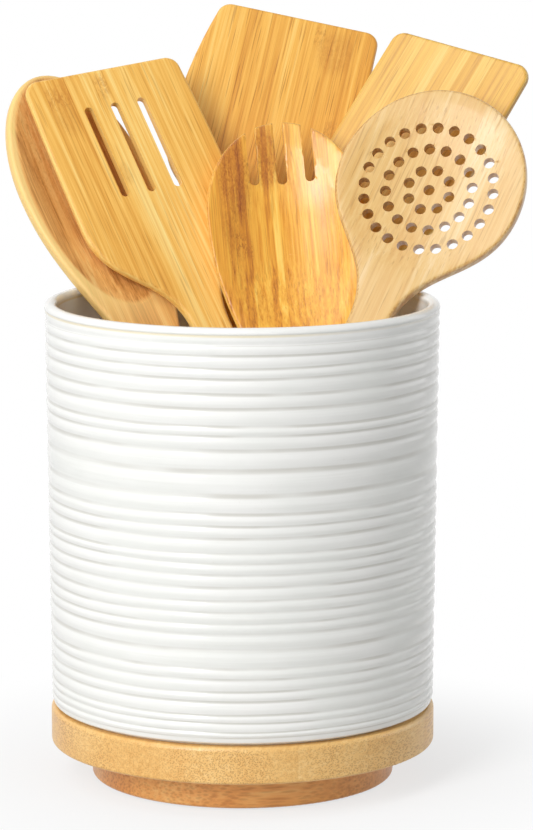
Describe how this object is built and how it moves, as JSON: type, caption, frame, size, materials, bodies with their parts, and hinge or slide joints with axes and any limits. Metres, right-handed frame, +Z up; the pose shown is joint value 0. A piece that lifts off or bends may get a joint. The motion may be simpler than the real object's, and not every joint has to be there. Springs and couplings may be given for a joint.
{
  "type": "rotating utensil crock",
  "caption": "Ribbed glazed ceramic jar on a bamboo turntable base with a ball bearing, holding a set of flat bamboo kitchen utensils.",
  "frame": {"origin": "centre of the non-slip ring's lower face, on the turntable's axis", "axes": "+Z up along the turntable's axis, +X to the viewer's right, -Y towards the viewer"},
  "size_m": [0.2184, 0.2055, 0.3076],
  "materials": {
    "glaze": "glossy warm white glaze over stoneware",
    "turntable_bamboo": "clear satin lacquer on pale laminated bamboo",
    "foot_bamboo": "clear satin lacquer on darker laminated bamboo",
    "utensil_bamboo": "oiled satin bamboo",
    "grip_rubber": "matt black rubber",
    "bearing_metal": "plain turned aluminium",
    "cage_plastic": "natural moulded nylon",
    "ball_steel": "polished steel",
    "screw_steel": "zinc-plated steel"
  },
  "bodies": {
    "base": {"foot": "foot_bamboo", "non_slip_ring": "grip_rubber", "bearing_outer_ring": "bearing_metal", "outer_ring_screws": "screw_steel"},
    "ball_cage": {"bearing_cage": "cage_plastic", "bearing_balls": "ball_steel"},
    "turntable": {"turntable": "turntable_bamboo", "bearing_inner_ring": "bearing_metal", "inner_ring_screws": "screw_steel"},
    "crock": {"crock": "glaze"},
    "slotted_turner": {"slotted_turner": "utensil_bamboo"},
    "wide_turner": {"wide_turner": "utensil_bamboo"},
    "turner": {"turner": "utensil_bamboo"},
    "spork": {"spork": "utensil_bamboo"},
    "skimmer": {"skimmer": "utensil_bamboo"},
    "spoon": {"spoon": "utensil_bamboo"}
  },
  "joints": [
    {"name": "turntable_spin", "type": "hinge", "parent": "base", "child": "turntable", "pos_m": [0, 0, 0.012], "axis": [0, 0, 1], "continuous": true},
    {"name": "ball_cage_spin", "type": "hinge", "parent": "base", "child": "ball_cage", "pos_m": [0, 0, 0.012], "axis": [0, 0, 1], "continuous": true},
    {"name": "crock_lift", "type": "slide", "parent": "turntable", "child": "crock", "axis": [0, 0, 1], "range_m": [0, 0.1]},
    {"name": "slotted_turner_lift", "type": "slide", "parent": "crock", "child": "slotted_turner", "axis": [-0.3974, 0.3589, 0.8446], "range_m": [0, 0.2]},
    {"name": "wide_turner_lift", "type": "slide", "parent": "crock", "child": "wide_turner", "axis": [0.2201, 0.4818, 0.8482], "range_m": [0, 0.2]},
    {"name": "turner_lift", "type": "slide", "parent": "crock", "child": "turner", "axis": [0.5144, 0.2206, 0.8287], "range_m": [0, 0.2]},
    {"name": "spork_lift", "type": "slide", "parent": "crock", "child": "spork", "axis": [-0.0848, 0.4446, 0.8917], "range_m": [0, 0.2]},
    {"name": "skimmer_lift", "type": "slide", "parent": "crock", "child": "skimmer", "axis": [0.4248, 0.2613, 0.8668], "range_m": [0, 0.2]},
    {"name": "spoon_lift", "type": "slide", "parent": "crock", "child": "spoon", "axis": [-0.3859, 0.4498, 0.8055], "range_m": [0, 0.2]}
  ],
  "couplings": [
    {"joint": "ball_cage_spin", "follows": "turntable_spin", "ratio": 0.4823}
  ]
}
